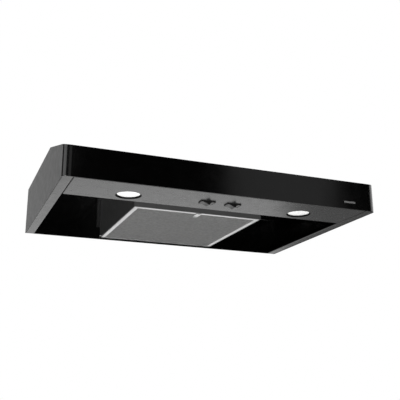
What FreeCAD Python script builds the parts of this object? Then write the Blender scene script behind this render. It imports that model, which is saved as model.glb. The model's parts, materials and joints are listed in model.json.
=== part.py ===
"""Under cabinet range hood, 30 inch class, as an assembly of sheet metal, blower, lamps and filter.

Frame: millimetres, +X to the right, +Y towards the wall, +Z up.  The origin is the middle of the
four cabinet screw holes, on the top face, so the hood hangs below Z = 0.
"""
import FreeCAD, Part
import math
import os

os.makedirs("parts", exist_ok=True)
Vector = FreeCAD.Vector

# ---------------------------------------------------------------- overall size
WIDTH = 759.0
DEPTH = 520.0
HEIGHT = 123.0
FASCIA_HEIGHT = 69.0
SLOPE_RUN = 174.0
SHEET = 1.0
BEND = 1.5
FRONT_TO_ORIGIN = 347.0
FRONT = -FRONT_TO_ORIGIN
REAR = FRONT + DEPTH
BOTTOM = -HEIGHT
HALF = WIDTH / 2
LAP = 12.0
LAP_CLEARANCE = 2.0
TRAY_BEND = 2.0
THROUGH = 5.0
TINY = 0.01

# ---------------------------------------------------------------- fascia, rails and control panel
FASCIA_SHEET = 1.5
FASCIA_CORNER = 9.0
FASCIA_EASE = 60.0
EASE_ANGLE = 10.0
EASE_START = 2.23
FASCIA_WRAP = 11.2
FASCIA_RETURN = 14.0
FASCIA_EDGE = 0.5
FASCIA_SCREW_HEIGHTS = (24.0, 50.0)
FLANGE_WIDTH = 24.6
RAIL_LIP = 10.0
RAIL_LEG = 14.0
RAIL_PLAY = 0.3
RAIL_SCREWS = (30.0, 100.0)
SEAM = 0.5
CONTROL_REAR = 127.0
CONTROL_LIP = 16.0
TOP_LAP = 9.0
BADGE = (30.4, 4.4, 0.6)
BADGE_CENTRE = (308.0, 16.6)

# ---------------------------------------------------------------- lamps and switches
LAMP_X = 215.5
LAMP_DEPTH = 85.0
LAMP_HOLE = 29.6
LENS_RADIUS = 26.2
LENS_RECESS = 3.0
LENS_THICK = 2.0
LENS_FIT = 0.1
LENS_LEDGE = 1.2
LENS_DOME = ((0.0, 0.0), (15.7, 0.15), (26.2, 0.8))
TRIM_FIT = 0.2
TRIM_RIM = 3.0
TRIM_FLANGE = 1.4
TRIM_LIP = 0.6
TRIM_TAPER = 0.7
BOARD_RADIUS = 24.0
BOARD_SHEET = 1.6
BOARD_HEIGHT = 8.5
CHIPS = 8
CHIP = (14.0, 1.5, 0.8)
LAMP_CAN_RADIUS = 31.5
LAMP_CAN_TOP = 24.0
LAMP_CAN_HOLE = 4.0
SWITCH_X = 32.3
SWITCH_DEPTH = 71.0
SLOT = (33.6, 20.0)
SLOT_CORNER = 1.0
SLOT_PLAY = 0.1
SWITCH_WALL = 0.8
SWITCH_HOLLOW = 13.0
SWITCH_TALL = 24.0
SNAP_LUG = (1.2, 3.0, 2.5)
BEZEL_RIM = 0.9
BEZEL_SHEET = 2.6
ROCKER_HALF = 15.4
ROCKER_WIDTH = 17.4
ROCKER_PIVOT = 1.5
ROCKER_PROFILE = (
    (-15.4, -2.2, 0.0), (-6.2, -4.2, 20.0), (1.5, -8.2, 0.8), (2.7, -8.2, 0.5), (6.8, -3.1, 1.5),
    (15.4, -2.2, 0.0), (15.4, 4.0, 0.0), (9.0, 6.0, 2.0), (-9.0, 6.0, 2.0), (-15.4, 4.0, 0.0),
)
TRUNNION = 1.5
TRUNNION_REACH = 9.7
RUNNING = 0.05
TERMINAL = (0.4, 3.1, 9.0)
TERMINAL_STEP = 11.0
TERMINAL_HOLE = (0.9, 5.5)

# ---------------------------------------------------------------- filter and plenum
FILTER_SIZE = (329.0, 338.0)
FILTER_X = -7.8
FILTER_FRONT = 179.5
FILTER_BOTTOM = 4.0
FILTER_THICK = 9.0
FILTER_FACE = 10.0
FILTER_TOP_FLANGE = 10.0
FILTER_GAP = 1.5
FRAME_CORNER = 2.0
LAYER_PLAY = 0.3
HINGE_PIN = 2.0
HINGE_INSET = 8.0
HINGE_OVERHANG = 2.0
CATCH_HALF = 14.0
CATCH_LEAF = 0.5
CATCH_BEND = 0.8
CATCH_PATH = ((6.0, 28.0), (0.0, 28.0), (0.0, 19.0), (0.7, 12.0), (0.2, 6.0))
MESH_SHEET = 0.8
TAB = (12.4, 27.0, 1.0)
TAB_CORNERS = (5.5, 3.0)
TAB_DROP = 0.4
TAB_TIP = (9.0, 2.0, 1.6)
TAB_X = FILTER_X
RIVET_HEAD = (2.6, 1.0, 0.6)
RIVET_PLAY = 0.3
PLENUM_FLANGE = 10.0
PLENUM_FLANGE_BOTTOM = 35.0
PLENUM_SCREW_INSET = 8.0
PLENUM_SCREW_HEIGHTS = (50.0, 100.0)
RELIEF_GAP = 0.2
PLENUM_INNER = FILTER_SIZE[0] / 2 + FILTER_GAP
PLENUM_X = (FILTER_X - PLENUM_INNER - SHEET, FILTER_X + PLENUM_INNER + SHEET)
PLENUM_FRONT = FILTER_FRONT - FILTER_GAP - SHEET
HINGE_DEPTH = FILTER_FRONT + FILTER_SIZE[1] - HINGE_INSET
HINGE_HEIGHT = FILTER_BOTTOM + FILTER_THICK / 2
TAB_DEPTH = FILTER_FRONT + FILTER_FACE / 2

# ---------------------------------------------------------------- blower
DECK = 40.0
DECK_LIP = 10.0
DECK_PLAY = 0.5
WHEEL_X = 0.0
WHEEL_DEPTH = 296.0
WHEEL_RADIUS = 90.0
WHEEL_EYE = 78.0
WHEEL_BOTTOM = 47.0
WHEEL_TOP = 105.5
WHEEL_RECESS = 62.0
WHEEL_DISC = 68.5
WHEEL_WALL = 1.5
HUB = (10.0, 9.0)
BLADES = 32
BLADE_SETBACK = 0.4
BLADE_EDGE = 0.8
BLADE_BOW = -1.2
BLADE_LEAD = 1.6
BLADE_SPREAD = 0.8
INLET_RADIUS = 71.0
INLET_RIM = 8.0
INLET_NECK = 4.5
SCROLL_START = 100.0
SCROLL_STEPS = (108.0, 122.0)
TONGUE_ANGLE = 120.0
GUIDE_GAP = 2.0
GUIDE_RUN = 130.0
GUIDE_BEND = 8.0
MOTOR_RADIUS = 48.0
MOTOR_BOTTOM = 75.5
MOTOR_TOP = 117.5
MOTOR_ROUND = 3.0
MOTOR_GROOVE = (3.0, 94.5, 98.5)
SHAFT = 4.0
SHAFT_TOP = 102.5
SHAFT_END_GAP = 1.0
BRACKET_RADIUS = 34.0
BRACKET_SHEET = 1.5
ARM_RADIUS = 66.0
ARM_HALF = 9.0
STUD = 2.5
STUD_HOLE = 2.7
STUD_DROP = 6.0
GROMMET = 8.0
NUT = (4.6, 4.0)

# ---------------------------------------------------------------- duct and damper
DUCT = (254.0, 82.6)
DUCT_BACK = 60.0
COLLAR_HEIGHT = 40.0
COLLAR_FLANGE = 14.0
COLLAR_PLAY = 1.0
COLLAR_BENDS = (2.5, 1.5)
COLLAR_CORNER = 4.0
COLLAR_SCREW_INSET = 10.0
FLAP_STOP = (110.0, 5.0)
FLAP_HEIGHT = 8.0
FLAP_PIN = 2.0
FLAP_SHEET = 0.8
FLAP_PLAY = 1.5
FLAP_ROLL_GAP = 1.0
FLAP_LIP = (20.0, 5.0)
FLAP_RIB = (30.0, 4.0, 1.2)
PIN_OVERHANG = 1.0

# ---------------------------------------------------------------- cabinet holes and wiring
CABINET_SPACING = (700.0, 230.0)
CABINET_HOLE = 3.5
KNOCKOUT = 11.1
WIRING_X = 280.0
WIRING_SIZE = (100.0, 88.0, 42.0)
WIRING_ENTRY = (6.0, 20.0)
KNOCKOUT_PLATE = 250.0
KNOCKOUT_HEIGHTS = (27.0, 107.0)
KNOCKOUT_GAP = 0.4
PRY_SLOT = (90.0, 6.0, 1.5)
TERMINAL_BLOCK = (24.0, 8.0, 26.0, 14.0)
TERMINALS = 6
TERMINAL_WELL = (8.0, 2.4, 6.0)
CAPACITOR = (12.0, -30.0, 16.0, -12.0)
CAPACITOR_ROUND = 2.0
DRIVER_X = (78.0, 164.0)
DRIVER_DEPTH = (54.0, 90.0)
DRIVER_HEIGHT = 22.0
DRIVER_CORNER = 2.0
LEAD = 3.5
LAMP_LEAD = 2.2
LEAD_INSIDE = 1.5
LEAD_EXIT = 20.0
LEAD_CORNER = 0.45
SUPPLY_STRAIGHT = 45.0
SUPPLY_RUN = (
    (-8.0, 95.0, -14.0), (-14.0, 150.0, -13.0), (-16.0, 205.0, -13.0),
    (-16.0, 255.0, -20.0), (-20.0, 300.0, -38.0),
)
SUPPLY_DROP = ((-32.0, 26.0, 58.0), (-62.0, 12.0, 52.0), (-100.0, 2.0, 49.0))
SUPPLY_END = (14.0, -8.0, 42.0)
LEAD_BEND = 8.0
CLIPS = ((-12.6, 137.0, -13.2), (-15.6, 194.0, -13.0))
CLIP_EYE = (1.0, 0.9, 5.0)
CLIP_FOOT = (-4.0, 14.0, 1.2)
LAMP_LEAD_START = (12.0, 36.0)
LAMP_LEAD_RISE = (24.0, 15.0)
LAMP_LEAD_BACK = 8.0
LEFT_LEAD_WAVES = ((0.22, 1.0), (0.45, -2.5), (0.68, 0.5), (0.88, -1.0))
SWITCH_LEAD_HEIGHTS = (12.0, 13.0)
SWITCH_LEAD_ENDS = (3.0, -2.0)
SWITCH_LEAD_RUN = 9.0
MOTOR_LEAD_DROP = 5.5
MOTOR_LEAD_EXIT = (12.0, 18.0, 42.0)
MOTOR_LEAD_SIDE = (8.0, 62.0)
MOTOR_LEAD_CURVE = (44.0, 22.0, 16.0)
WINDOW = (4.0, 11.0, 5.0)
SCREW = 1.75
SCREW_HOLE = 1.9
HEAD = 3.6
HEAD_HEIGHT = 2.2
DRIVE = (2.2, 1.0)


def at(depth):
    """Y of a point this far behind the front face."""
    return FRONT + depth


def up(height):
    """Z of a point this far above the bottom plane."""
    return BOTTOM + height


PLANES = {
    "xy": (Vector(1, 0, 0), Vector(0, 1, 0), Vector(0, 0, 1)),
    "yz": (Vector(0, 1, 0), Vector(0, 0, 1), Vector(1, 0, 0)),
    "xz": (Vector(1, 0, 0), Vector(0, 0, 1), Vector(0, 1, 0)),
}


def place(plane, point, level):
    """A flat point of a plane, raised to a level along the plane's normal."""
    along, across, normal = PLANES[plane]
    return along * point[0] + across * point[1] + normal * level


def corner(before, point, after, radius):
    """Start, middle and end of the arc that rounds one corner of an outline."""
    back = Vector(before[0] - point[0], before[1] - point[1], 0).normalize()
    ahead = Vector(after[0] - point[0], after[1] - point[1], 0).normalize()
    half = back.getAngle(ahead) / 2
    here = Vector(point[0], point[1], 0)
    reach = radius / math.tan(half)
    middle = here + (back + ahead).normalize() * (radius / math.sin(half) - radius)
    return here + back * reach, middle, here + ahead * reach


def outline(plane, points, radii, level, closed=True):
    """A wire through the points, each corner rounded by its radius."""
    count = len(points)
    rows = []
    for index, point in enumerate(points):
        radius = radii[index]
        inner = closed or 0 < index < count - 1
        if radius and inner:
            rows.append(corner(points[index - 1], point, points[(index + 1) % count], radius))
        else:
            rows.append((Vector(point[0], point[1], 0),))
    edges = []
    last = len(rows) if closed else len(rows) - 1
    for index, row in enumerate(rows):
        if len(row) == 3:
            edges.append(Part.Arc(*[place(plane, p, level) for p in row]).toShape())
        following = rows[(index + 1) % len(rows)]
        if index < last and (row[-1] - following[0]).Length > 0.001:
            start = place(plane, row[-1], level)
            end = place(plane, following[0], level)
            edges.append(Part.LineSegment(start, end).toShape())
    return Part.Wire(edges)


def prism(plane, points, low, high, radii=0.0):
    """Solid of a flat outline between two levels of its plane's normal."""
    if not isinstance(radii, (list, tuple)):
        radii = [radii] * len(points)
    wire = outline(plane, points, radii, low)
    return Part.Face(wire).extrude(PLANES[plane][2] * (high - low))


def bent_sheet(plane, path, low, high, thickness=SHEET, bends=BEND):
    """Sheet bent along a path.  The path is one face; the sheet lies to its left."""
    if not isinstance(bends, (list, tuple)):
        bends = [bends] * len(path)
    inner = []
    outer_radii = []
    inner_radii = []
    ways = []
    for start, end in zip(path, path[1:]):
        way = Vector(end[0] - start[0], end[1] - start[1], 0).normalize()
        ways.append(way)
    for index, point in enumerate(path):
        before = ways[max(index - 1, 0)]
        after = ways[min(index, len(ways) - 1)]
        first = Vector(-before.y, before.x, 0)
        second = Vector(-after.y, after.x, 0)
        shift = (first + second) * (thickness / (1 + first.dot(second)))
        inner.append((point[0] + shift.x, point[1] + shift.y))
        left = before.cross(after).z > 0
        outer_radii.append(bends[index] + (thickness if left else 0.0))
        inner_radii.append(bends[index] + (0.0 if left else thickness))
    for radii in (outer_radii, inner_radii):
        radii[0] = 0.0
        radii[-1] = 0.0
    return prism(plane, list(path) + inner[::-1], low, high, outer_radii + inner_radii[::-1])


def block(x, y, z):
    """Box between pairs of limits."""
    size = (x[1] - x[0], y[1] - y[0], z[1] - z[0])
    return Part.makeBox(size[0], size[1], size[2], Vector(x[0], y[0], z[0]))


def rod(radius, start, end):
    """Round bar between two points."""
    start = Vector(*start)
    way = Vector(*end) - start
    return Part.makeCylinder(radius, way.Length, start, way)


def ring(outer, inner, centre, low, high):
    """Flat ring or tube standing on a centre in plan."""
    solid = rod(outer, (*centre, low), (*centre, high))
    return solid.cut(rod(inner, (*centre, low - 1), (*centre, high + 1)))


def spun(points, centre, radii=0.0):
    """Solid turned about a vertical line through the centre, from (radius, z) points."""
    if not isinstance(radii, (list, tuple)):
        radii = [radii] * len(points)
    face = Part.Face(outline("xz", points, radii, 0.0))
    turned = face.revolve(Vector(0, 0, 0), Vector(0, 0, 1), 360)
    turned.translate(Vector(centre[0], centre[1], 0))
    return turned


def soften(solid, radius, wanted):
    """Fillet the edges that the test picks."""
    edges = [edge for edge in solid.Edges if wanted(edge)]
    return solid.makeFillet(radius, edges)


def upright(edge):
    """True for a straight vertical edge."""
    box = edge.BoundBox
    return box.XLength < TINY and box.YLength < TINY and box.ZLength > TINY


def rounded_block(x, y, z, radius, floor):
    """Box with its upright edges and the rim of its floor rounded."""

    def bend_line(edge):
        box = edge.BoundBox
        return upright(edge) or (box.ZLength < TINY and abs(box.ZMin - floor) < TINY)

    return soften(block(x, y, z), radius, bend_line)


def tray(x, y, z, opens_up=True):
    """Open box of sheet with rounded bends, its floor at the bottom or at the top."""
    inside_x = (x[0] + SHEET, x[1] - SHEET)
    inside_y = (y[0] + SHEET, y[1] - SHEET)
    if opens_up:
        shell = rounded_block(x, y, z, TRAY_BEND, z[0])
        inside_z = (z[0] + SHEET, z[1] + THROUGH)
        return shell.cut(rounded_block(inside_x, inside_y, inside_z, TRAY_BEND - SHEET, inside_z[0]))
    shell = rounded_block(x, y, z, TRAY_BEND, z[1])
    inside_z = (z[0] - THROUGH, z[1] - SHEET)
    return shell.cut(rounded_block(inside_x, inside_y, inside_z, TRAY_BEND - SHEET, inside_z[1]))


def drilled(solid, radius, places, axis, reach):
    """Cut round holes of a radius along an axis, each reaching both ways from its place."""
    way = Vector(*axis)
    for place_xyz in places:
        middle = Vector(*place_xyz)
        start = middle - way * reach
        solid = solid.cut(Part.makeCylinder(radius, 2 * reach, start, way))
    return solid


def pan_screw(head_seat, way, grip):
    """Screw with a domed head on its seat and a shank of the grip length along the way."""
    way = Vector(*way).normalize()
    seat = Vector(*head_seat)
    shank = Part.makeCylinder(SCREW, grip, seat, way)
    head = Part.makeCylinder(HEAD, HEAD_HEIGHT, seat - way * HEAD_HEIGHT, way)
    crown = [e for e in head.Edges if abs(e.CenterOfMass.distanceToPoint(seat) - HEAD_HEIGHT) < TINY]
    head = head.makeFillet(HEAD_HEIGHT * 0.45, crown)
    side, depth = DRIVE
    turn = FreeCAD.Rotation(Vector(0, 0, 1), way)
    recess = Part.makeBox(side, side, 2 * depth)
    recess.Placement = FreeCAD.Placement(seat - way * HEAD_HEIGHT, turn).multiply(
        FreeCAD.Placement(Vector(-side / 2, -side / 2, -depth), FreeCAD.Rotation()))
    return head.fuse(shank).removeSplitter().cut(recess)


def group(solids):
    """Several separate solids in one node."""
    return Part.makeCompound(solids)


def both(solid):
    """The solid and its mirror image across the middle of the hood."""
    return solid, solid.mirror(Vector(0, 0, 0), Vector(1, 0, 0))


# ================================================================ outer casing
def fascia_line(inset):
    """Plan of the fascia's face sunk by an inset, from its left end round the front to its right end.

    Each corner is a tight arc down to the ease angle, then a wide arc that eases into the front.
    """
    ease = math.radians(EASE_ANGLE)
    slide = inset * (1 - math.sin(ease)) / math.cos(ease)
    first = (-HALF + inset, at(EASE_START) + inset * math.cos(ease) - slide * math.sin(ease))
    run = (first[1] - FRONT - inset) / math.tan(ease)
    second = (first[0] + run, FRONT + inset)
    left = [(-HALF + inset, at(FASCIA_WRAP)), first, second]
    return left + [(-x, y) for x, y in reversed(left)]


def fascia_bends(inset):
    """Corner radii of the fascia's line sunk by an inset."""
    tight, wide = FASCIA_CORNER - inset, FASCIA_EASE - inset
    return [0.0, tight, wide, wide, tight, 0.0]


def fascia_band(low, high):
    """The fascia's front and rounded ends, without its returns, between two heights."""
    return bent_sheet("xy", fascia_line(0.0), low, high, FASCIA_SHEET, fascia_bends(FASCIA_SHEET))


def inside_fascia(inset, low, high):
    """Room inside the fascia's line sunk by an inset, with the whole width behind it."""
    nose = prism("xy", fascia_line(inset), low, high, fascia_bends(inset))
    return nose.fuse(block((-HALF, HALF), (at(FASCIA_WRAP), REAR), (low, high)))


def fascia_screw_points(depth):
    """Centres of the four screws that hold the fascia's returns, at a depth."""
    inset = HALF - FASCIA_SHEET - FASCIA_RETURN / 2
    return [(side * inset, at(depth), up(h)) for side in (-1, 1) for h in FASCIA_SCREW_HEIGHTS]


def front_fascia():
    """Gloss front with rounded ends, hollow at the back, with a return for screws at each end."""
    band = fascia_band(BOTTOM, up(FASCIA_HEIGHT))
    rear = at(FASCIA_WRAP)
    flange_y = (rear - FASCIA_SHEET, rear)
    flange_z = (up(RAIL_LEG + LAP_CLEARANCE), up(FASCIA_HEIGHT - LAP_CLEARANCE))
    for side in (-1, 1):
        limits = sorted((side * (HALF - FASCIA_SHEET / 2), side * (HALF - FASCIA_RETURN)))
        band = band.fuse(block(limits, flange_y, flange_z))
    band = band.removeSplitter()
    band = drilled(band, SCREW_HOLE, fascia_screw_points(FASCIA_WRAP), (0, 1, 0), THROUGH)
    levels = (BOTTOM, up(FASCIA_HEIGHT))

    def outer_rim(edge):
        box = edge.BoundBox
        flat = box.ZLength < TINY and min(abs(box.ZMin - level) for level in levels) < TINY
        return flat and box.YMin < FRONT + TINY and box.XLength > FASCIA_CORNER

    return soften(band, FASCIA_EDGE, outer_rim)


def badge():
    """Small plain bar on the front face, with nothing written on it."""
    half = BADGE[0] / 2
    tall = BADGE[1] / 2
    x, height = BADGE_CENTRE
    points = [(x - half, up(height - tall)), (x + half, up(height - tall))]
    points += [(x + half, up(height + tall)), (x - half, up(height + tall))]
    return prism("xz", points, FRONT - BADGE[2], FRONT, 1.2)


def roof_line(thickness):
    """Points of the slope and flat top, in Y and Z, sunk by a thickness."""
    slope = math.atan2(HEIGHT - FASCIA_HEIGHT, SLOPE_RUN - FASCIA_SHEET)
    sink = thickness / math.cos(slope)
    ridge = SLOPE_RUN + thickness * math.tan(slope / 2)
    start = FASCIA_WRAP
    rise = (start - FASCIA_SHEET) * math.tan(slope)
    return [(at(start), up(FASCIA_HEIGHT + rise) - sink), (at(ridge), -thickness), (REAR, -thickness)]


def duct_centre():
    """Centre of the duct in plan."""
    return (WHEEL_X, REAR - DUCT_BACK)


def duct_block(margin, low, high):
    """Block of the duct's plan grown by a margin all round."""
    x, y = duct_centre()
    half_x = DUCT[0] / 2 - COLLAR_PLAY - SHEET + margin
    half_y = DUCT[1] / 2 - COLLAR_PLAY - SHEET + margin
    return block((x - half_x, x + half_x), (y - half_y, y + half_y), (low, high))


def cabinet_holes():
    """Centres of the four holes for the screws into the cabinet."""
    half_x, half_y = CABINET_SPACING[0] / 2, CABINET_SPACING[1] / 2
    return [(i * half_x, j * half_y, 0) for i in (-1, 1) for j in (-1, 1)]


def wiring_centre():
    """Centre of the house wiring hole in plan."""
    return (WIRING_X, REAR - SHEET - WIRING_SIZE[1] / 2)


def collar_screw_points():
    """Centres of the screws that hold the duct collar's flange."""
    x, y = duct_centre()
    half_x = DUCT[0] / 2 - COLLAR_SCREW_INSET
    half_y = DUCT[1] / 2 - COLLAR_PLAY + COLLAR_FLANGE / 2
    return [(x + i * half_x, y + j * half_y, SHEET) for i in (-1, 1) for j in (-1, 1)]


def top_panel():
    """Flat top and front slope in one bent sheet, with a lip down behind the fascia."""
    lip = at(FASCIA_SHEET)
    path = [(REAR, 0), (at(SLOPE_RUN), 0), (lip, up(FASCIA_HEIGHT)), (lip, up(FASCIA_HEIGHT - LAP))]
    panel = bent_sheet("yz", path, -HALF, HALF).common(inside_fascia(FASCIA_SHEET, BOTTOM, 0))
    lip_end = HALF - FASCIA_RETURN - SHEET
    for side in (-1, 1):
        limits = sorted((side * lip_end, side * HALF))
        panel = panel.cut(block(limits, (FRONT, at(FASCIA_WRAP)), (BOTTOM, up(FASCIA_HEIGHT - SHEET))))
    panel = panel.cut(duct_block(0.0, -THROUGH, THROUGH))
    panel = drilled(panel, CABINET_HOLE, cabinet_holes(), (0, 0, 1), THROUGH)
    panel = drilled(panel, KNOCKOUT, [(*wiring_centre(), 0)], (0, 0, 1), THROUGH)
    return drilled(panel, SCREW_HOLE, collar_screw_points(), (0, 0, 1), THROUGH)


def left_side_panel():
    """Side sheet with laps for welding: one under the roof line and one behind the fascia."""
    plate_x = (-HALF, -HALF + SHEET)
    start, ridge, end = roof_line(SHEET)
    points = [(at(FASCIA_WRAP), BOTTOM), (REAR, BOTTOM), end, ridge, start]
    plate = prism("yz", points, plate_x[0], plate_x[1])
    rear_stop = REAR - 2 * SHEET
    lap_path = [(rear_stop, -SHEET), ridge, start]
    roof_lap = bent_sheet("yz", lap_path, plate_x[0], plate_x[0] + LAP)
    lap_y = (at(FASCIA_WRAP), at(FASCIA_WRAP) + SHEET)
    lap_z = (up(RAIL_LEG + LAP_CLEARANCE), start[1] - LAP_CLEARANCE)
    front_lap = block((plate_x[0], plate_x[0] + FASCIA_RETURN), lap_y, lap_z)
    panel = plate.fuse([roof_lap, front_lap]).removeSplitter()
    return drilled(panel, SCREW_HOLE, fascia_screw_points(FASCIA_WRAP)[:2], (0, 1, 0), THROUGH)


def rail_screw_points(x):
    """Centres of the two screws between a rail's lip and the control panel, at an X."""
    return [(x, at(depth), up(RAIL_LIP - HEAD)) for depth in RAIL_SCREWS]


def left_bottom_rail():
    """Flat underside strip along the side, with a leg up the side sheet and a lip at its inner edge."""
    outer = -HALF + SHEET
    inner = -HALF + FLANGE_WIDTH
    path = [(outer, up(RAIL_LEG)), (outer, BOTTOM), (inner, BOTTOM), (inner, up(RAIL_LIP))]
    rail = bent_sheet("xz", path, FRONT, REAR - SHEET)
    rail = rail.common(inside_fascia(FASCIA_SHEET + RAIL_PLAY, BOTTOM, up(RAIL_LEG)))
    return drilled(rail, SCREW_HOLE, rail_screw_points(inner), (1, 0, 0), THROUGH)


def rear_panel():
    """Back sheet with laps forward at the top and both sides, and the rear duct knockout's hole."""
    inner = HALF - SHEET
    panel = block((-inner, inner), (REAR - SHEET, REAR), (BOTTOM, -SHEET))
    top_x = (-inner + LAP + LAP_CLEARANCE, WIRING_X - WIRING_SIZE[0] / 2 - LAP_CLEARANCE)
    laps = [block(top_x, (REAR - TOP_LAP, REAR), (-2 * SHEET, -SHEET))]
    lap_z = (up(RAIL_LEG + LAP_CLEARANCE), -2 * SHEET - LAP_CLEARANCE)
    for side in (-1, 1):
        limits = sorted((side * inner, side * (inner - SHEET)))
        laps.append(block(limits, (REAR - LAP, REAR), lap_z))
    panel = panel.fuse(laps).removeSplitter()
    return panel.cut(rear_knockout_block(KNOCKOUT_GAP, THROUGH))


def rear_knockout_block(margin, reach):
    """Block of the rear duct knockout, grown by a margin and by a reach through the sheet."""
    x = duct_centre()[0]
    half = KNOCKOUT_PLATE / 2 + margin
    z = (up(KNOCKOUT_HEIGHTS[0] - margin), up(KNOCKOUT_HEIGHTS[1] + margin))
    return block((x - half, x + half), (REAR - SHEET - reach, REAR + reach), z)


def rear_knockout():
    """Rear duct knockout, still in place, with its pry slots."""
    plate = rear_knockout_block(0.0, 0.0)
    x = duct_centre()[0]
    middle = up(sum(KNOCKOUT_HEIGHTS) / 2)
    offset, long, tall = PRY_SLOT
    for side in (-1, 1):
        centre = x + side * offset
        slot_x = (centre - long, centre + long)
        plate = plate.cut(block(slot_x, (REAR - THROUGH, REAR + THROUGH), (middle - tall, middle + tall)))
    return plate


# ================================================================ control panel, lamps, switches
def slot_block(x, margin, heights):
    """Block of a switch slot's plan, grown by a margin, between two levels."""
    half_x, half_y = SLOT[0] / 2 + margin, SLOT[1] / 2 + margin
    y = at(SWITCH_DEPTH)
    return block((x - half_x, x + half_x), (y - half_y, y + half_y), heights)


def control_panel():
    """Underside panel at the front: a shallow tray with two lamp holes and two switch slots."""
    half = HALF - FLANGE_WIDTH - SEAM
    panel = tray((-half, half), (at(FASCIA_SHEET + SEAM), at(CONTROL_REAR)), (BOTTOM, up(CONTROL_LIP)))
    for side in (-1, 1):
        slot = slot_block(side * SWITCH_X, 0.0, (BOTTOM - THROUGH, BOTTOM + THROUGH))
        panel = panel.cut(soften(slot, SLOT_CORNER, upright))
        panel = drilled(panel, LAMP_HOLE, [(*lamp_centre(side), BOTTOM)], (0, 0, 1), THROUGH)
        panel = drilled(panel, SCREW_HOLE, rail_screw_points(side * half), (1, 0, 0), THROUGH)
    return panel


def control_screws():
    """Four screws from inside the control panel into the rails' lips."""
    seat = HALF - FLANGE_WIDTH - SEAM - SHEET
    screws = []
    for side in (-1, 1):
        for point in rail_screw_points(side * seat):
            screws.append(pan_screw(point, (side, 0, 0), 7.0))
    return group(screws)


def fascia_screws():
    """Four screws through the side sheets' front laps into the fascia's returns."""
    seats = fascia_screw_points(FASCIA_WRAP + SHEET)
    return group([pan_screw(seat, (0, -1, 0), 6.0) for seat in seats])


def lamp_centre(side):
    """Centre of a lamp in plan."""
    return (side * LAMP_X, at(LAMP_DEPTH))


def lamp_trim(side):
    """Black ring that flares from the lens to the lamp hole and seats on the panel's inner face."""
    bore = LENS_RADIUS + LENS_FIT
    outer = LAMP_HOLE - TRIM_FIT
    rim = LAMP_HOLE + TRIM_RIM
    ledge = LENS_RADIUS - LENS_LEDGE
    seat = BOTTOM + SHEET
    lens_top = up(LENS_RECESS + LENS_THICK)
    points = [(outer - TRIM_LIP, BOTTOM), (outer, BOTTOM), (outer, seat), (rim, seat)]
    points += [(rim, seat + TRIM_FLANGE), (outer, seat + TRIM_FLANGE)]
    points += [(outer - TRIM_TAPER, lens_top + TRIM_FLANGE), (ledge, lens_top + TRIM_FLANGE)]
    points += [(ledge, lens_top), (bore, lens_top), (bore, up(LENS_RECESS))]
    return spun(points, lamp_centre(side))


def lamp_lens(side):
    """Milky lens, slightly domed downwards, held in the trim."""
    top = up(LENS_RECESS + LENS_THICK)
    points = [(radius, up(LENS_RECESS + rise)) for radius, rise in LENS_DOME]
    return spun(points + [(LENS_RADIUS, top), (0, top)], lamp_centre(side))


def lamp_board(side):
    """Round lamp board with a ring of small emitters on its underside."""
    centre = lamp_centre(side)
    low = up(BOARD_HEIGHT)
    board = rod(BOARD_RADIUS, (*centre, low), (*centre, low + BOARD_SHEET))
    radius, half, tall = CHIP
    chips = []
    for index in range(CHIPS):
        turn = 2 * math.pi * index / CHIPS
        x = centre[0] + radius * math.cos(turn)
        y = centre[1] + radius * math.sin(turn)
        chips.append(block((x - half, x + half), (y - half, y + half), (low - tall, low)))
    return board.fuse(chips)


def lamp_boards():
    """Both lamps' boards."""
    return group([lamp_board(side) for side in (-1, 1)])


def lamp_can(side):
    """Shallow can over the lamp, open downwards, with a lead hole in its top."""
    seat = BOTTOM + SHEET + TRIM_FLANGE
    top = up(LAMP_CAN_TOP)
    outer, inner = LAMP_CAN_RADIUS, LAMP_CAN_RADIUS - SHEET
    points = [(inner, seat), (outer, seat), (outer, top), (LAMP_CAN_HOLE, top)]
    points += [(LAMP_CAN_HOLE, top - SHEET), (inner, top - SHEET)]
    return spun(points, lamp_centre(side), [0, 0, BEND + SHEET, 0, 0, BEND])


def rocker(x):
    """Rocker with a finger ridge: its ends are arcs about its pivot, its trunnions stand out each side."""
    y = at(SWITCH_DEPTH)
    half = ROCKER_WIDTH / 2
    pivot = up(ROCKER_PIVOT)
    points = [(x + along, up(height)) for along, height, bend in ROCKER_PROFILE]
    solid = prism("xz", points, y - half, y + half, [bend for along, height, bend in ROCKER_PROFILE])
    sweep = rod(ROCKER_HALF, (x, y - half - THROUGH, pivot), (x, y + half + THROUGH, pivot))
    trunnions = rod(TRUNNION, (x, y - TRUNNION_REACH, pivot), (x, y + TRUNNION_REACH, pivot))
    return solid.common(sweep).fuse(trunnions).removeSplitter()


def switch_body(x):
    """Snap-in switch housing: bezel below the panel, walls up through its slot, lugs above it."""
    low, seat = BOTTOM - BEZEL_SHEET, BOTTOM + SHEET
    y = at(SWITCH_DEPTH)
    body = soften(slot_block(x, -SLOT_PLAY, (low, seat + SWITCH_TALL)), SLOT_CORNER, upright)
    bezel = soften(slot_block(x, BEZEL_RIM, (low, BOTTOM)), SLOT_CORNER, upright)
    lug, wide, tall = SNAP_LUG
    half = SLOT[0] / 2 + lug
    lugs = block((x - half, x + half), (y - wide, y + wide), (seat, seat + tall))
    window = slot_block(x, -SLOT_PLAY - SWITCH_WALL, (low - THROUGH, seat + SWITCH_HOLLOW))
    pivot = up(ROCKER_PIVOT)
    reach = SLOT[1] / 2 - SLOT_PLAY
    bore = rod(TRUNNION + RUNNING, (x, y - reach, pivot), (x, y + reach, pivot))
    return body.fuse([bezel, lugs]).removeSplitter().cut(window).cut(bore)


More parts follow.
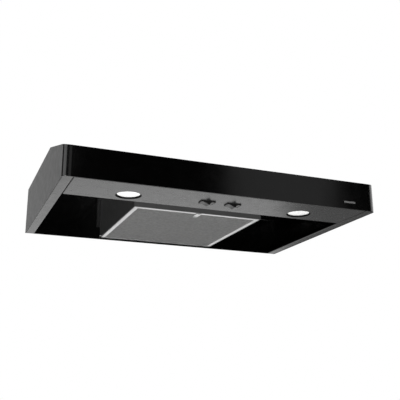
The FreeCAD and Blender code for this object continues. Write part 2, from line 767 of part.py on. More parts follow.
def switch_terminals():
    """Three blade terminals on top of each switch housing."""
    low = BOTTOM + SHEET + SWITCH_TALL
    y = at(SWITCH_DEPTH)
    thin, wide, tall = TERMINAL
    radius, height = TERMINAL_HOLE
    blades = []
    for middle in [side * SWITCH_X + step * TERMINAL_STEP for side in (-1, 1) for step in (-1, 0, 1)]:
        terminal = block((middle - thin, middle + thin), (y - wide, y + wide), (low, low + tall))
        blades.append(drilled(terminal, radius, [(middle, y, low + height)], (1, 0, 0), THROUGH))
    return group(blades)


def lamp_driver():
    """Power supply for the lamps, a closed box standing in the control panel."""
    low = BOTTOM + SHEET
    depth = (at(DRIVER_DEPTH[0]), at(DRIVER_DEPTH[1]))
    return soften(block(DRIVER_X, depth, (low, low + DRIVER_HEIGHT)), DRIVER_CORNER, upright)


# ================================================================ plenum and filter
def plenum_screw_points():
    """Centres of the screws through the front wall into the side walls' laps."""
    low_x, high_x = PLENUM_X[0] + PLENUM_SCREW_INSET, PLENUM_X[1] - PLENUM_SCREW_INSET
    return [(x, at(PLENUM_FRONT), up(h)) for x in (low_x, high_x) for h in PLENUM_SCREW_HEIGHTS]


def plenum_front():
    """Front wall of the filter box, with a lap back under the top."""
    y = at(PLENUM_FRONT)
    path = [(y + LAP, -SHEET), (y, -SHEET), (y, up(FILTER_BOTTOM))]
    wall = bent_sheet("yz", path, PLENUM_X[0], PLENUM_X[1])
    return drilled(wall, SCREW_HOLE, plenum_screw_points(), (0, 1, 0), THROUGH)


def plenum_side(side):
    """Side wall of the filter box: laps at the top and front inwards, at the back outwards."""
    outer = PLENUM_X[0] if side < 0 else PLENUM_X[1]
    inward = -side
    front = at(PLENUM_FRONT) + SHEET
    rear = REAR - SHEET
    wall_x = sorted((outer, outer + inward * SHEET))
    lap_x = sorted((outer, outer + inward * LAP))
    flange_x = sorted((outer, outer - inward * PLENUM_FLANGE))
    wall = block(wall_x, (front, rear), (up(FILTER_BOTTOM), -2 * SHEET))
    top_y = (front + LAP + LAP_CLEARANCE, rear - LAP - LAP_CLEARANCE)
    front_z = (up(FILTER_BOTTOM + FILTER_THICK + LAP / 2), -SHEET - LAP)
    laps = [block(lap_x, top_y, (-2 * SHEET, -SHEET)), block(lap_x, (front, front + SHEET), front_z)]
    laps.append(block(flange_x, (rear - SHEET, rear), (up(PLENUM_FLANGE_BOTTOM), -3 * SHEET)))
    relief = BEND + RELIEF_GAP
    corner_notch = block(wall_x, (front, front + relief), (-2 * SHEET - relief, 0))
    wall = wall.fuse(laps).removeSplitter().cut(corner_notch)
    pin = (outer, at(HINGE_DEPTH), up(HINGE_HEIGHT))
    wall = drilled(wall, HINGE_PIN + RUNNING, [pin], (1, 0, 0), THROUGH)
    points = plenum_screw_points()[:2] if side < 0 else plenum_screw_points()[2:]
    if side > 0:
        wall = wall.cut(lead_window(outer - SHEET / 2))
    return drilled(wall, SCREW_HOLE, points, (0, 1, 0), THROUGH)


def plenum_screws():
    """Four screws through the filter box's front corners."""
    return group([pan_screw(point, (0, 1, 0), 6.0) for point in plenum_screw_points()])


def filter_catch():
    """Leaf spring on the front wall that grips the filter's front edge."""
    inner = at(PLENUM_FRONT) + SHEET
    path = [(inner + out, up(height)) for out, height in CATCH_PATH]
    return bent_sheet("yz", path, FILTER_X - CATCH_HALF, FILTER_X + CATCH_HALF, CATCH_LEAF, CATCH_BEND)


def filter_plan(margin, low, high):
    """Block of the filter's plan, shrunk by a margin, between two heights."""
    half_x, half_y = FILTER_SIZE[0] / 2 - margin, FILTER_SIZE[1] / 2 - margin
    middle = at(FILTER_FRONT + FILTER_SIZE[1] / 2)
    limits_x, limits_y = (FILTER_X - half_x, FILTER_X + half_x), (middle - half_y, middle + half_y)
    return block(limits_x, limits_y, (up(low), up(high)))


def filter_frame():
    """Channel frame round the filter, with a hinge pin at each rear corner."""
    low, high = FILTER_BOTTOM, FILTER_BOTTOM + FILTER_THICK
    frame = soften(filter_plan(0, low, high), FRAME_CORNER, upright)
    frame = frame.cut(filter_plan(SHEET, low + SHEET, high - SHEET))
    frame = frame.cut(filter_plan(FILTER_FACE, low - THROUGH, low + 2 * SHEET))
    frame = frame.cut(filter_plan(FILTER_TOP_FLANGE, high - 2 * SHEET, high + THROUGH))
    inside = FILTER_SIZE[0] / 2 - SHEET
    outside = PLENUM_INNER + SHEET + HINGE_OVERHANG
    for side in (-1, 1):
        start = (FILTER_X + side * inside, at(HINGE_DEPTH), up(HINGE_HEIGHT))
        end = (FILTER_X + side * outside, at(HINGE_DEPTH), up(HINGE_HEIGHT))
        frame = frame.fuse(rod(HINGE_PIN, start, end))
    return drilled(frame.removeSplitter(), SCREW, [(TAB_X, at(TAB_DEPTH), up(low))], (0, 0, 1), 2 * SHEET)


def filter_layer(low, high):
    """One flat layer held inside the frame's channel."""
    return filter_plan(SHEET + LAYER_PLAY, low, high)


def tab_rivet():
    """Rivet that the pull tab turns on."""
    x, y = TAB_X, at(TAB_DEPTH)
    radius, tall, rounding = RIVET_HEAD
    seat = up(FILTER_BOTTOM - TAB_DROP - TAB[2] - RIVET_PLAY)
    shank = rod(SCREW, (x, y, seat), (x, y, up(FILTER_BOTTOM + SHEET)))
    head = rod(radius, (x, y, seat - tall), (x, y, seat))
    low_rim = [edge for edge in head.Edges if abs(edge.BoundBox.ZMax - head.BoundBox.ZMin) < TINY]
    return head.makeFillet(rounding, low_rim).fuse(shank).removeSplitter()


def pull_tab():
    """Finger tab under the filter's front edge, straight to the rear, its tip thickened downwards."""
    width, length, thickness = TAB
    ramp, over, drop = TAB_TIP
    high = up(FILTER_BOTTOM - TAB_DROP)
    low = high - thickness
    half = width / 2
    points = [(-half, -half), (half, -half), (half, length), (-half, length)]
    radii = [TAB_CORNERS[0], TAB_CORNERS[0], TAB_CORNERS[1], TAB_CORNERS[1]]
    wedge = [(length - ramp, high), (length + over, high), (length + over, low - drop), (length, low - drop)]
    tip = prism("yz", wedge, -half, half).common(prism("xy", points, low - THROUGH, high + THROUGH, radii))
    tab = prism("xy", points, low, high, radii).fuse(tip).removeSplitter()
    tab = tab.cut(rod(SCREW + RUNNING, (0, 0, low - THROUGH), (0, 0, high + THROUGH)))
    tab.translate(Vector(TAB_X, at(TAB_DEPTH), 0))
    return tab


# ================================================================ blower
def wheel_centre():
    """Centre of the blower wheel in plan."""
    return (WHEEL_X, at(WHEEL_DEPTH))


def blower_deck():
    """Plate over the filter space with the inlet hole, lipped down all round."""
    inner = (PLENUM_X[0] + SHEET, PLENUM_X[1] - SHEET)
    y = (at(PLENUM_FRONT) + 2 * SHEET + DECK_PLAY, REAR - SHEET)
    deck = tray(inner, y, (up(DECK - DECK_LIP), up(DECK + SHEET)), opens_up=False)
    centre = wheel_centre()
    return deck.cut(rod(INLET_RADIUS + SHEET, (*centre, up(DECK - THROUGH)), (*centre, up(DECK + THROUGH))))


def inlet_ring():
    """Bell mouth that leads air from the deck's hole into the wheel's eye."""
    deck = up(DECK + SHEET)
    rim, bore = WHEEL_EYE + INLET_RIM, INLET_RADIUS
    points = [(rim, deck), (bore, deck), (bore, deck + INLET_NECK)]
    points += [(bore + SHEET, deck + INLET_NECK), (bore + SHEET, deck + SHEET), (rim, deck + SHEET)]
    return spun(points, wheel_centre(), [0, BEND + SHEET, 0, 0, BEND, 0])


def scroll_wall():
    """Spiral wall round the wheel: three arcs that widen from the tongue to the outlet."""
    x, y = wheel_centre()
    turn = math.radians(TONGUE_ANGLE)
    start = (x + SCROLL_START * math.cos(turn), y + SCROLL_START * math.sin(turn))
    reach = SCROLL_START * math.tan((math.pi - turn) / 2)
    left = x - SCROLL_START
    front = y - SCROLL_STEPS[0]
    right = left + sum(SCROLL_STEPS)
    path = [start, (left, y + reach), (left, front), (right, front), (right, REAR - SHEET)]
    bends = [0, SCROLL_START, SCROLL_STEPS[0], SCROLL_STEPS[1], 0]
    inner_bends = [bend - SHEET if bend else 0 for bend in bends]
    wall = bent_sheet("xy", path, up(DECK + SHEET), -2 * SHEET, SHEET, inner_bends)
    return wall.cut(lead_window(right - SHEET / 2))


def discharge_guide():
    """Wall from the scroll's tongue out to the left edge of the duct."""
    x, y = wheel_centre()
    turn = math.radians(TONGUE_ANGLE)
    tongue = (x + SCROLL_START * math.cos(turn), y + SCROLL_START * math.sin(turn) + GUIDE_GAP)
    left = duct_centre()[0] - DUCT[0] / 2 - GUIDE_GAP
    path = [tongue, (left, y + GUIDE_RUN), (left, REAR - SHEET)]
    return bent_sheet("xy", path, up(DECK + SHEET), -2 * SHEET, SHEET, GUIDE_BEND)


def blade(turn):
    """One forward-curved blade of the wheel, turned into place."""
    low, high = up(WHEEL_BOTTOM), up(WHEEL_TOP)

    def polar(radius, degrees):
        angle = math.radians(degrees)
        return Vector(radius * math.cos(angle), radius * math.sin(angle), low)

    root, outer = WHEEL_EYE + BLADE_SETBACK, WHEEL_RADIUS - BLADE_EDGE
    middle = (WHEEL_EYE + outer) / 2
    tip, back_tip = polar(outer, BLADE_LEAD), polar(outer, BLADE_LEAD + BLADE_SPREAD)
    face = Part.Arc(polar(root, 0), polar(middle, BLADE_BOW), tip).toShape()
    edge = Part.LineSegment(tip, back_tip).toShape()
    back = Part.Arc(back_tip, polar(middle, BLADE_BOW + BLADE_SPREAD), polar(root, BLADE_SPREAD)).toShape()
    foot = Part.LineSegment(polar(root, BLADE_SPREAD), polar(root, 0)).toShape()
    solid = Part.Face(Part.Wire([face, edge, back, foot])).extrude(Vector(0, 0, high - low))
    solid.rotate(Vector(0, 0, 0), Vector(0, 0, 1), turn)
    solid.translate(Vector(*wheel_centre(), 0))
    return solid


def blower_wheel():
    """Wheel whose top plate dips round the motor to a hub, with a ring of blades below its rim."""
    centre = wheel_centre()
    radius, drop = HUB
    bottom, top, disc = up(WHEEL_BOTTOM), up(WHEEL_TOP), up(WHEEL_DISC)
    points = [(SHAFT, disc - drop), (radius, disc - drop), (radius, disc), (WHEEL_RECESS, disc)]
    points += [(WHEEL_RECESS, top - WHEEL_WALL), (WHEEL_RADIUS, top - WHEEL_WALL), (WHEEL_RADIUS, top)]
    points += [(WHEEL_RECESS - WHEEL_WALL, top), (WHEEL_RECESS - WHEEL_WALL, disc + WHEEL_WALL)]
    points.append((SHAFT, disc + WHEEL_WALL))
    shroud = ring(WHEEL_RADIUS, WHEEL_EYE, centre, bottom, bottom + WHEEL_WALL)
    blades = [blade(index * 360.0 / BLADES) for index in range(BLADES)]
    return spun(points, centre).fuse([shroud] + blades).removeSplitter()


def motor_shaft():
    """Shaft from inside the motor down into the wheel's hub."""
    centre = wheel_centre()
    return rod(SHAFT, (*centre, up(WHEEL_DISC - HUB[1])), (*centre, up(SHAFT_TOP)))


def motor_housing():
    """Closed motor can with a shaft hole in its underside and a cooling groove round its wall."""
    centre = wheel_centre()
    can = rod(MOTOR_RADIUS, (*centre, up(MOTOR_BOTTOM)), (*centre, up(MOTOR_TOP)))
    can = soften(can, MOTOR_ROUND, lambda edge: edge.BoundBox.ZLength < TINY)
    bore_top = up(SHAFT_TOP + SHAFT_END_GAP)
    can = can.cut(rod(SHAFT + RUNNING, (*centre, up(MOTOR_BOTTOM - THROUGH)), (*centre, bore_top)))
    depth, low, high = MOTOR_GROOVE
    return can.cut(ring(MOTOR_RADIUS + THROUGH, MOTOR_RADIUS - depth, centre, up(low), up(high)))


def arm_points(level):
    """Centres of the three motor mounting points, at a level."""
    x, y = wheel_centre()
    turns = [math.radians(90 + 120 * index) for index in range(3)]
    return [(x + ARM_RADIUS * math.cos(t), y + ARM_RADIUS * math.sin(t), level) for t in turns]


def motor_bracket():
    """Three-armed plate on top of the motor."""
    x, y = wheel_centre()
    low, high = up(MOTOR_TOP), up(MOTOR_TOP) + BRACKET_SHEET
    plate = rod(BRACKET_RADIUS, (x, y, low), (x, y, high))
    for index in range(3):
        arm = block((x, x + ARM_RADIUS), (y - ARM_HALF, y + ARM_HALF), (low, high))
        arm = arm.fuse(rod(ARM_HALF, (x + ARM_RADIUS, y, low), (x + ARM_RADIUS, y, high)))
        arm.rotate(Vector(x, y, 0), Vector(0, 0, 1), 90 + 120 * index)
        plate = plate.fuse(arm)
    return drilled(plate.removeSplitter(), STUD_HOLE, arm_points(low), (0, 0, 1), THROUGH)


def motor_grommets():
    """Three rubber rings between the motor's arms and the top."""
    low = up(MOTOR_TOP) + BRACKET_SHEET
    return group([ring(GROMMET, STUD_HOLE, (x, y), low, -SHEET) for x, y, z in arm_points(0)])


def motor_studs():
    """Three studs welded under the top."""
    low = up(MOTOR_TOP - STUD_DROP)
    return group([rod(STUD, (x, y, low), (x, y, -SHEET)) for x, y, z in arm_points(0)])


def motor_nuts():
    """Three hexagon nuts under the motor's arms."""
    radius, tall = NUT
    high = up(MOTOR_TOP)
    turns = [math.radians(60 * index) for index in range(6)]
    nuts = []
    for x, y, z in arm_points(0):
        points = [(x + radius * math.cos(turn), y + radius * math.sin(turn)) for turn in turns]
        nut = prism("xy", points, high - tall, high)
        nuts.append(nut.cut(rod(STUD, (x, y, high - 2 * tall), (x, y, high + tall))))
    return group(nuts)


# ================================================================ duct collar and damper
def flap_axis():
    """Y and Z of the damper's pin."""
    y = duct_centre()[1] - DUCT[1] / 2 + COLLAR_PLAY + SHEET
    return (y + FLAP_PLAY + FLAP_PIN + FLAP_ROLL_GAP, FLAP_HEIGHT)


def duct_collar():
    """Rectangular duct collar with a flange on the top, pin holes in its ends and a stop for the flap."""
    x, y = duct_centre()
    outside, inside = COLLAR_BENDS
    tube = soften(duct_block(SHEET, 0, COLLAR_HEIGHT), outside, upright)
    flange = soften(duct_block(SHEET + COLLAR_FLANGE, 0, SHEET), COLLAR_CORNER, upright)
    room = soften(duct_block(0.0, -THROUGH, COLLAR_HEIGHT + THROUGH), inside, upright)
    half, out = FLAP_STOP
    inner_y = y + DUCT[1] / 2 - COLLAR_PLAY - SHEET
    stop_z = (FLAP_HEIGHT - 2 * SHEET, FLAP_HEIGHT - SHEET)
    stop = block((x - half, x + half), (inner_y - out, inner_y + SHEET / 2), stop_z)
    collar = tube.fuse(flange).cut(room).fuse(stop).removeSplitter()
    for side in (-1, 1):
        hole = (x + side * DUCT[0] / 2, *flap_axis())
        collar = drilled(collar, FLAP_PIN + RUNNING, [hole], (1, 0, 0), THROUGH)
    return drilled(collar, SCREW_HOLE, collar_screw_points(), (0, 0, 1), THROUGH)


def collar_screws():
    """Four screws through the collar's flange into the top."""
    return group([pan_screw(point, (0, 0, -1), 7.0) for point in collar_screw_points()])


def flap_half_width():
    """Half the damper flap's width."""
    return DUCT[0] / 2 - COLLAR_PLAY - SHEET - FLAP_PLAY


def half_clear_depth():
    """From the duct's middle to the flap's free edge."""
    return DUCT[1] / 2 - COLLAR_PLAY - SHEET - FLAP_PLAY


def damper_flap():
    """Damper flap: a sheet with a rolled edge round its pin and a lip at its free edge."""
    x, y = duct_centre()
    pin_y, pin_z = flap_axis()
    half = flap_half_width()
    free = y + half_clear_depth()
    sheet = block((x - half, x + half), (pin_y, free), (pin_z - FLAP_SHEET / 2, pin_z + FLAP_SHEET / 2))
    roll = rod(FLAP_PIN + FLAP_SHEET, (x - half, pin_y, pin_z), (x + half, pin_y, pin_z))
    inset, tall = FLAP_LIP
    lip = block((x - half + inset, x + half - inset), (free - FLAP_SHEET, free), (pin_z, pin_z + tall))
    inset, wide, tall = FLAP_RIB
    rib = block((x - half + inset, x + half - inset), (y - wide, y + wide), (pin_z, pin_z + tall))
    flap = sheet.fuse([roll, lip, rib]).removeSplitter()
    return flap.cut(rod(FLAP_PIN, (x - half - THROUGH, pin_y, pin_z), (x + half + THROUGH, pin_y, pin_z)))


def damper_pin():
    """Rod through the flap's rolled edge, its ends in the collar."""
    x = duct_centre()[0]
    pin_y, pin_z = flap_axis()
    reach = DUCT[0] / 2 + PIN_OVERHANG
    return rod(FLAP_PIN, (x - reach, pin_y, pin_z), (x + reach, pin_y, pin_z))


# ================================================================ wiring
def wiring_box():
    """Cover of the wiring space in the rear right corner, open at the top, with a lead hole in front."""
    x, y = wiring_centre()
    half_x, half_y = WIRING_SIZE[0] / 2, WIRING_SIZE[1] / 2
    low = -SHEET - WIRING_SIZE[2]
    box = tray((x - half_x, x + half_x), (y - half_y, y + half_y), (low, -SHEET))
    radius, height = WIRING_ENTRY
    return drilled(box, radius, [(x, y - half_y, low + height)], (0, 1, 0), THROUGH)


def terminal_block():
    """Terminal block on the wiring space's floor, with a row of screw wells."""
    x, y = wiring_centre()
    low = -SHEET - WIRING_SIZE[2] + SHEET
    half, front, rear, tall = TERMINAL_BLOCK
    step, radius, depth = TERMINAL_WELL
    first = x - step * (TERMINALS - 1) / 2
    wells = [(first + index * step, y + (front + rear) / 2, low + tall) for index in range(TERMINALS)]
    body = block((x - half, x + half), (y + front, y + rear), (low, low + tall))
    return drilled(body, radius, wells, (0, 0, 1), depth)


def motor_capacitor():
    """Round capacitor lying on the wiring space's floor."""
    x, y = wiring_centre()
    radius, left, right, offset = CAPACITOR
    level = radius - WIRING_SIZE[2]
    can = rod(radius, (x + left, y + offset, level), (x + right, y + offset, level))
    return soften(can, CAPACITOR_ROUND, lambda edge: edge.BoundBox.XLength < TINY)


def lead(route, radius):
    """Round lead along a route of straight runs joined by tangent arcs."""
    points = [Vector(*point) for point in route]
    edges = []
    here = points[0]
    for before, point, after in zip(points, points[1:], points[2:]):
        back = before - point
        ahead = after - point
        reach = LEAD_CORNER * min(back.Length, ahead.Length)
        half = back.getAngle(ahead) / 2
        bend = reach * math.tan(half)
        back.normalize()
        ahead.normalize()
        start, end = point + back * reach, point + ahead * reach
        middle = point + (back + ahead).normalize() * (bend / math.sin(half) - bend)
        edges.append(Part.LineSegment(here, start).toShape())
        edges.append(Part.Arc(start, middle, end).toShape())
        here = end
    edges.append(Part.LineSegment(here, points[-1]).toShape())
    path = Part.Wire(edges)
    section = Part.Wire(Part.Circle(points[0], points[1] - points[0], radius).toShape())
    return path.makePipeShell([section], True, False)


def supply_start():
    """Where the supply lead leaves the wiring space: X, Y and Z."""
    x, y = wiring_centre()
    return (x, y - WIRING_SIZE[1] / 2 + LEAD_INSIDE, -SHEET - WIRING_SIZE[2] + LEAD_EXIT)


def supply_lead():
    """Lead from the wiring space forward under the top to the lamp driver."""
    x, y, z = supply_start()
    driver_y = sum(DRIVER_DEPTH) / 2
    route = [(x, y, z), (x, y - SUPPLY_STRAIGHT, z)]
    route += [(x + over, y - forward, height) for over, forward, height in SUPPLY_RUN]
    route += [(x + over, at(driver_y + back), up(height)) for over, back, height in SUPPLY_DROP]
    inset, back, height = SUPPLY_END
    end = (DRIVER_X[1] - inset, at(driver_y + back))
    route += [(*end, up(height)), (*end, BOTTOM + SHEET + DRIVER_HEIGHT)]
    return lead(route, LEAD)


def lead_clips():
    """Two clips that hold the supply lead under the flat top."""
    x, y = supply_start()[:2]
    wall, play, half = CLIP_EYE
    left, right, thick = CLIP_FOOT
    clips = []
    for over, forward, z in CLIPS:
        clip_x, clip_y = x + over, y - forward
        limits = (clip_y - half, clip_y + half)
        eye = rod(LEAD + play + wall, (clip_x, limits[0], z), (clip_x, limits[1], z))
        foot = block((clip_x + left, clip_x + right), limits, (-SHEET - thick, -SHEET))
        neck = block((clip_x - 2 * wall, clip_x + 2 * wall), limits, (z + LEAD, -SHEET))
        hole = rod(LEAD + play, (clip_x, limits[0] - THROUGH, z), (clip_x, limits[1] + THROUGH, z))
        clips.append(eye.fuse([foot, neck]).cut(hole).removeSplitter())
    return group(clips)


def lamp_lead(side):
    """Lead from the driver's top to a lamp can."""
    x, y = lamp_centre(side)
    top = BOTTOM + SHEET + DRIVER_HEIGHT
    back = at(sum(DRIVER_DEPTH) / 2 + LAMP_LEAD_BACK)
    right = side > 0
    start_x = DRIVER_X[1] - LAMP_LEAD_START[1] if right else DRIVER_X[0] + LAMP_LEAD_START[0]
    rise = top + LAMP_LEAD_RISE[right]
    turn_x = start_x + side * LEAD_BEND
    route = [(start_x, back, top), (start_x, back, top + LAMP_LEAD_BACK), (turn_x, back, rise)]
    if right:
        route.append(((turn_x + x) / 2, y, rise))
    else:
        span = x + 2 * LEAD_BEND - turn_x
        waves = [(turn_x + span * step, back + 2 * wave, rise + wave) for step, wave in LEFT_LEAD_WAVES]
        route += waves
    can_top = up(LAMP_CAN_TOP)
    route += [(x - side * LEAD_BEND, y, rise), (x, y, can_top + LEAD_BEND), (x, y, can_top - 2 * SHEET)]
    return lead(route, LAMP_LEAD)


def switch_lead():
    """Short lead from the driver to the light switch's housing."""
    y = at(SWITCH_DEPTH)
    first, last = (y + over for over in SWITCH_LEAD_ENDS)
    low, high = (up(height) for height in SWITCH_LEAD_HEIGHTS)
    end = SWITCH_X + SLOT[0] / 2 - SLOT_PLAY
    route = [(DRIVER_X[0], first, low), (DRIVER_X[0] - SWITCH_LEAD_RUN, first, low)]
    route += [(end + SWITCH_LEAD_RUN, last, high), (end, last, high)]
    return lead(route, LAMP_LEAD)


def motor_lead_route():
    """Points of the motor's lead, level between the wheel's rim and the top."""
    x, y = wiring_centre()
    level = up(MOTOR_TOP - MOTOR_LEAD_DROP)
    inset, straight, over = MOTOR_LEAD_EXIT
    start_x, start_y = x - WIRING_SIZE[0] / 2, y - WIRING_SIZE[1] / 2 + inset
    motor_x, motor_y = wheel_centre()
    rim_x = motor_x + MOTOR_RADIUS
    far, back, near = MOTOR_LEAD_CURVE
    route = [(start_x, start_y, level), (start_x - straight, start_y, level)]
    route.append((start_x - over, start_y - straight, level))
    route.append((PLENUM_X[1] - MOTOR_LEAD_SIDE[0], start_y - MOTOR_LEAD_SIDE[1], level))
    route += [(rim_x + far, motor_y + back, level), (rim_x + near, motor_y, level)]
    route.append((rim_x + RUNNING, motor_y, level))
    return route


def motor_lead():
    """Lead from the wiring space through the filter box's side and the scroll to the motor."""
    return lead(motor_lead_route(), LAMP_LEAD)


def lead_window(x):
    """Block of a window round the motor's lead where it passes a wall at an X."""
    route = motor_lead_route()
    level = route[0][2]
    for start, end in zip(route, route[1:]):
        if end[0] <= x <= start[0]:
            y = start[1] + (end[1] - start[1]) * (x - start[0]) / (end[0] - start[0])
    through, wide, tall = WINDOW
    window = block((x - through, x + through), (y - wide, y + wide), (level - tall, level + tall))
    return soften(window, through, lambda edge: edge.BoundBox.XLength > SHEET)


NODES = {
    "front_fascia": front_fascia,
    "badge": badge,
    "top_panel": top_panel,
    "rear_panel": rear_panel,
    "rear_knockout": rear_knockout,
    "control_panel": control_panel,
    "control_screws": control_screws,
    "fascia_screws": fascia_screws,
    "lamp_driver": lamp_driver,
    "lamp_boards": lamp_boards,
    "switch_terminals": switch_terminals,
    "plenum_front": plenum_front,
    "plenum_screws": plenum_screws,
    "filter_catch": filter_catch,
    "filter_frame": filter_frame,
    "tab_rivet": tab_rivet,
    "pull_tab": pull_tab,
    "blower_deck": blower_deck,
    "inlet_ring": inlet_ring,
    "scroll_wall": scroll_wall,
    "discharge_guide": discharge_guide,
    "blower_wheel": blower_wheel,
    "motor_shaft": motor_shaft,
    "motor_housing": motor_housing,
    "motor_bracket": motor_bracket,
    "motor_grommets": motor_grommets,
    "motor_studs": motor_studs,
    "motor_nuts": motor_nuts,
    "duct_collar": duct_collar,
    "collar_screws": collar_screws,
    "damper_flap": damper_flap,
    "damper_pin": damper_pin,
    "wiring_box": wiring_box,
    "terminal_block": terminal_block,
    "motor_capacitor": motor_capacitor,
    "supply_lead": supply_lead,
    "lead_clips": lead_clips,
    "switch_lead": switch_lead,
    "motor_lead": motor_lead,
}


def build():
    """Every node's shape by name."""
    shapes = {name: make() for name, make in NODES.items()}
    shapes["left_side_panel"], shapes["right_side_panel"] = both(left_side_panel())
    shapes["left_bottom_rail"], shapes["right_bottom_rail"] = both(left_bottom_rail())
    for name, side in (("left", -1), ("right", 1)):
        shapes[f"plenum_{name}"] = plenum_side(side)
        shapes[f"{name}_lamp_trim"] = lamp_trim(side)
        shapes[f"{name}_lamp_lens"] = lamp_lens(side)
        shapes[f"{name}_lamp_can"] = lamp_can(side)
        shapes[f"{name}_lamp_lead"] = lamp_lead(side)
    for name, side in (("fan", -1), ("light", 1)):
        shapes[f"{name}_rocker"] = rocker(side * SWITCH_X)
        shapes[f"{name}_switch_body"] = switch_body(side * SWITCH_X)
    low = FILTER_BOTTOM + SHEET
    high = FILTER_BOTTOM + FILTER_THICK - SHEET
    shapes["filter_mesh_lower"] = filter_layer(low, low + MESH_SHEET)
    shapes["filter_core"] = filter_layer(low + MESH_SHEET, high - MESH_SHEET)
    shapes["filter_mesh_upper"] = filter_layer(high - MESH_SHEET, high)
    return shapes


for node, shape in build().items():
    shape.exportStep(f"parts/{node}.step")
    print(node, shape.isValid(), len(shape.Solids), round(shape.Volume))
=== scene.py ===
"""Under cabinet range hood: finishes, filter screens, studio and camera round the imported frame.

Metres, in the frame's own axes: +X to the right, +Y to the wall, +Z up.
"""
import json
import math
import random

import bmesh
import bpy
from mathutils import Matrix, Vector


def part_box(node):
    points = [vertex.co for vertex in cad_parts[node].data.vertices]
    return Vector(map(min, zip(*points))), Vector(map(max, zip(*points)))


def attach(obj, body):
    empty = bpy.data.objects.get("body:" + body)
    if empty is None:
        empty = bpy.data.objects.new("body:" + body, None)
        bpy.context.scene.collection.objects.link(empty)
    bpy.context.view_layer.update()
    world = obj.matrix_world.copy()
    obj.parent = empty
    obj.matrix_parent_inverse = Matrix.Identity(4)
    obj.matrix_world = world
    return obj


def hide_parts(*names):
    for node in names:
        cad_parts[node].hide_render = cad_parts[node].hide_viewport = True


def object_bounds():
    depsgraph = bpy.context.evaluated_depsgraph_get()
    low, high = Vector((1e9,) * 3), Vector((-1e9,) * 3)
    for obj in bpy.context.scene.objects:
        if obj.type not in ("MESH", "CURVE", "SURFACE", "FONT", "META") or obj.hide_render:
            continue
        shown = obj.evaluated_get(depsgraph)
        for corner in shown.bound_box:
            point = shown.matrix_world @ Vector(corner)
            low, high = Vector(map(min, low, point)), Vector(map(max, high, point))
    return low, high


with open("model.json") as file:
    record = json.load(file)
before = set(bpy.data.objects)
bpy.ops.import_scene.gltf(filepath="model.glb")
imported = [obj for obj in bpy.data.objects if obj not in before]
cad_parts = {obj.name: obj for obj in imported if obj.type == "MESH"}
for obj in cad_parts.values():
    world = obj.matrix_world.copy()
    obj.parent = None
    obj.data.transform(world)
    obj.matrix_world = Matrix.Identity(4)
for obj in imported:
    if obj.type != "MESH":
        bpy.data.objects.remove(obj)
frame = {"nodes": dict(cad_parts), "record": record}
CAD_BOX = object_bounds()
NODES = frame["nodes"]
SLOTS = {part["node"]: part["material_slot"] for part in frame["record"]["subparts"]}
MM = 0.001

# ---------------------------------------------------------------- camera and studio
CAMERA_PLACE = (-0.60443, -1.65334, -0.56478)
CAMERA_YAW = 21.93
CAMERA_PITCH = 16.69
CAMERA_ROLL = -0.19
CAMERA_LENS = 60.86
FLOOR_DROP = 2.0
FLOOR_RADIUS = 4.0
FLOOR_SEGMENTS = 96
FLOOR_COLOURS = ((0.62, 0.62, 0.61, 1.0), (0.66, 0.66, 0.65, 1.0))
FLOOR_ROUGHNESS = 0.8
FLOOR_CLOUDS = 3.0
BACKDROP = (1.0, 1.0, 1.0, 1.0)

# the room is as bright as the first level towards the front and as the second towards the wall;
# the change lies between these two values of a direction's Y, which is -1 to 1
ROOM_CHANGE = (-0.2, 0.7)
ROOM_LEVELS = (0.004, 0.25)


def make_camera():
    """The camera: below the hood, in front of it and to its left, looking up at it."""
    data = bpy.data.cameras.new("camera")
    data.lens = CAMERA_LENS
    camera = bpy.data.objects.new("camera", data)
    bpy.context.scene.collection.objects.link(camera)
    turn = Matrix.Rotation(-math.radians(CAMERA_YAW), 4, "Z")
    lift = Matrix.Rotation(math.radians(90 + CAMERA_PITCH), 4, "X")
    roll = Matrix.Rotation(math.radians(CAMERA_ROLL), 4, "Z")
    camera.matrix_world = Matrix.Translation(CAMERA_PLACE) @ turn @ lift @ roll
    bpy.context.scene.camera = camera


def make_world():
    """A white backdrop, and for the lighting a dim room that is dark in front and lighter behind."""
    world = bpy.data.worlds.new("studio")
    bpy.context.scene.world = world
    world.use_nodes = True
    nodes, links = world.node_tree.nodes, world.node_tree.links
    nodes.clear()
    place = nodes.new("ShaderNodeTexCoord")
    split = nodes.new("ShaderNodeSeparateXYZ")
    links.new(place.outputs["Generated"], split.inputs[0])
    behind = nodes.new("ShaderNodeMapRange")
    behind.interpolation_type = "SMOOTHSTEP"
    for socket, value in zip(behind.inputs[1:5], ROOM_CHANGE + ROOM_LEVELS):
        socket.default_value = value
    links.new(split.outputs["Y"], behind.inputs[0])
    room = nodes.new("ShaderNodeBackground")
    links.new(behind.outputs[0], room.inputs["Strength"])
    white = nodes.new("ShaderNodeBackground")
    white.inputs["Color"].default_value = BACKDROP
    ray = nodes.new("ShaderNodeLightPath")
    mix = nodes.new("ShaderNodeMixShader")
    links.new(ray.outputs["Is Camera Ray"], mix.inputs[0])
    links.new(room.outputs[0], mix.inputs[1])
    links.new(white.outputs[0], mix.inputs[2])
    output = nodes.new("ShaderNodeOutputWorld")
    links.new(mix.outputs[0], output.inputs["Surface"])


